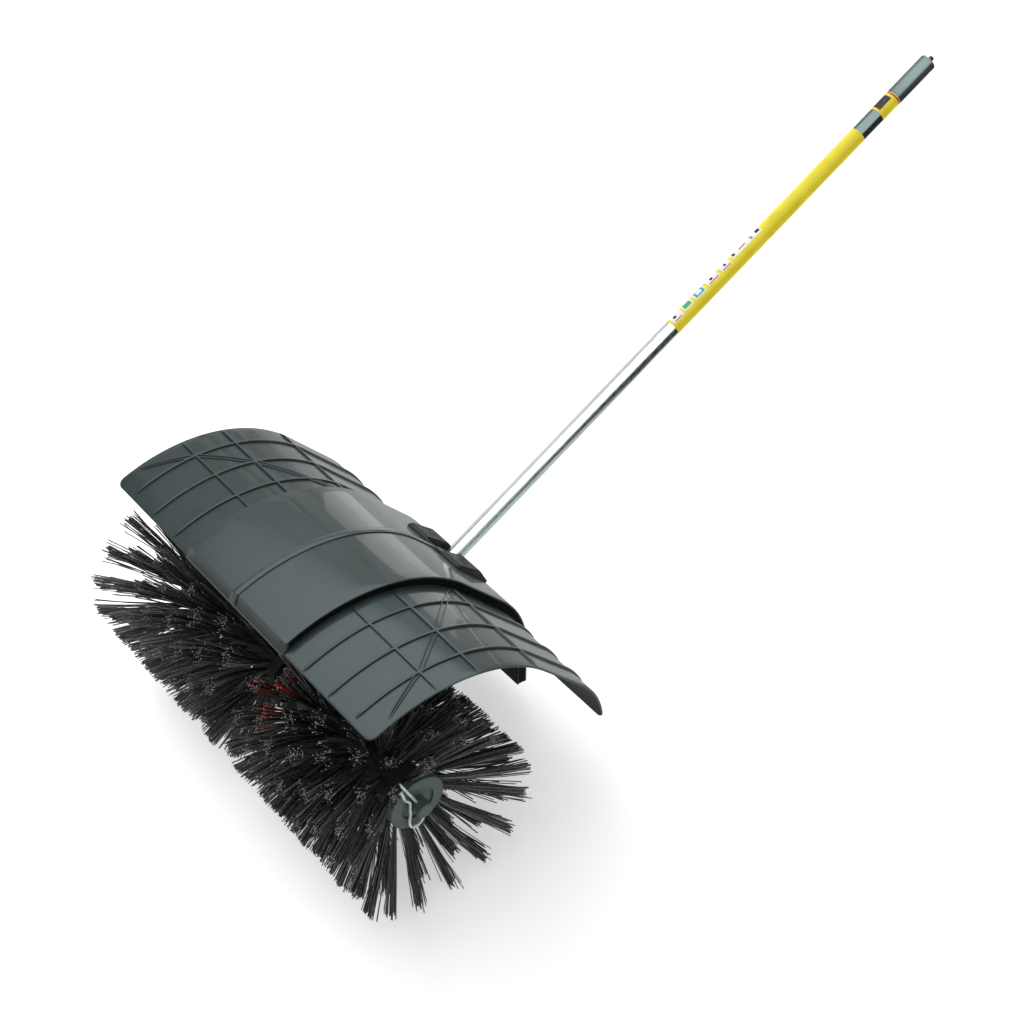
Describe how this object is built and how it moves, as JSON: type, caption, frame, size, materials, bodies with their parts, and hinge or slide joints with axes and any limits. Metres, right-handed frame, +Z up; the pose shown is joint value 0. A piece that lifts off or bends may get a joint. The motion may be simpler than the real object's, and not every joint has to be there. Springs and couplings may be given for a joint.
{
  "type": "rotary bristle sweeper attachment",
  "caption": "Powered bristle brush in two halves on a cross axle under a wide arched deflector, on a long straight drive tube that fits a separate power unit.",
  "frame": {"origin": "centre of the drive tube's outer end, where the power unit's coupling goes on", "axes": "+X along the brush axle to the right half seen from behind, +Y horizontally back to the operator, +Z up with the brush on level ground"},
  "size_m": [0.6436, 1.3617, 0.7226],
  "materials": {
    "deflector_black": "smooth satin moulded plastic",
    "bracket_black": "matt moulded plastic",
    "tube_aluminium": "drawn, bright satin",
    "label_yellow": "printed film",
    "cast_housing": "die cast, black paint",
    "sleeve_steel": "satin, darker than the tube",
    "axle_steel": "dark grey phosphate",
    "black_fastener": "black oxide",
    "bearing_steel": "ground",
    "seal_rubber": "matt",
    "bush_plastic": "plain",
    "painted_steel": "satin paint",
    "wheel_bronze": "machined",
    "plain_steel": "turned",
    "core_black": "plain",
    "disc_grey": "slightly dusty moulded plastic",
    "bristle_black": "stiff extruded filament",
    "bristle_red": "stiff extruded filament",
    "zinc_wire": "bright zinc",
    "zinc_fastener": "zinc plated"
  },
  "bodies": {
    "frame": {"drive_tube": "tube_aluminium", "coupling_sleeve": "sleeve_steel", "locating_lug": "plain_steel", "shaft_bushes": "bush_plastic", "tube_label_main": "label_yellow", "tube_label_end": "label_yellow", "gear_housing_left": "cast_housing", "gear_housing_right": "cast_housing", "housing_bolts": "zinc_fastener", "housing_nuts": "zinc_fastener", "grease_plug": "zinc_fastener", "worm_bearing_front": "bearing_steel", "worm_bearing_rear": "bearing_steel", "axle_bearing_left": "bearing_steel", "axle_bearing_right": "bearing_steel", "axle_seal_left": "seal_rubber", "axle_seal_right": "seal_rubber", "deflector_left": "deflector_black", "deflector_right": "deflector_black", "seam_bolts": "zinc_fastener", "seam_nuts": "zinc_fastener", "deflector_bracket": "bracket_black", "bracket_bolts": "black_fastener", "bracket_nuts": "zinc_fastener", "tube_grommet": "seal_rubber", "tube_clamp_upper": "painted_steel", "tube_clamp_lower": "painted_steel", "clamp_bolts": "zinc_fastener", "clamp_nuts": "zinc_fastener", "deflector_stay": "painted_steel", "stay_screws": "black_fastener"},
    "input": {"worm": "plain_steel", "drive_shaft": "plain_steel"},
    "drum": {"worm_wheel": "wheel_bronze", "wheel_key": "plain_steel", "output_axle": "axle_steel", "drive_pins": "plain_steel", "brush_core_left": "core_black", "brush_core_right": "core_black", "bristles_left": "bristle_black", "bristles_right": "bristle_black", "contact_tufts_left": "bristle_black", "contact_tufts_right": "bristle_black", "red_tufts": "bristle_red", "end_disc_left": "disc_grey", "end_disc_right": "disc_grey"},
    "clip_right": {"hitch_pin_right": "zinc_wire"},
    "clip_left": {"hitch_pin_left": "zinc_wire"}
  },
  "joints": [
    {"name": "drum_spin", "type": "hinge", "parent": "frame", "child": "drum", "pos_m": [0, -1.19901, -0.55827], "axis": [1, 0, 0], "continuous": true},
    {"name": "input_spin", "type": "hinge", "parent": "frame", "child": "input", "pos_m": [0, -1.18104, -0.594], "axis": [0, 0.8934, 0.4493], "continuous": true},
    {"name": "clip_right_pull", "type": "slide", "parent": "drum", "child": "clip_right", "axis": [0, 0.3907, -0.9205], "range_m": [0, 0.1], "deforming": ["hitch_pin_right"]},
    {"name": "clip_left_pull", "type": "slide", "parent": "drum", "child": "clip_left", "axis": [0, 0.3907, -0.9205], "range_m": [0, 0.1], "deforming": ["hitch_pin_left"]}
  ],
  "couplings": [
    {"joint": "input_spin", "follows": "drum_spin", "ratio": -30}
  ]
}
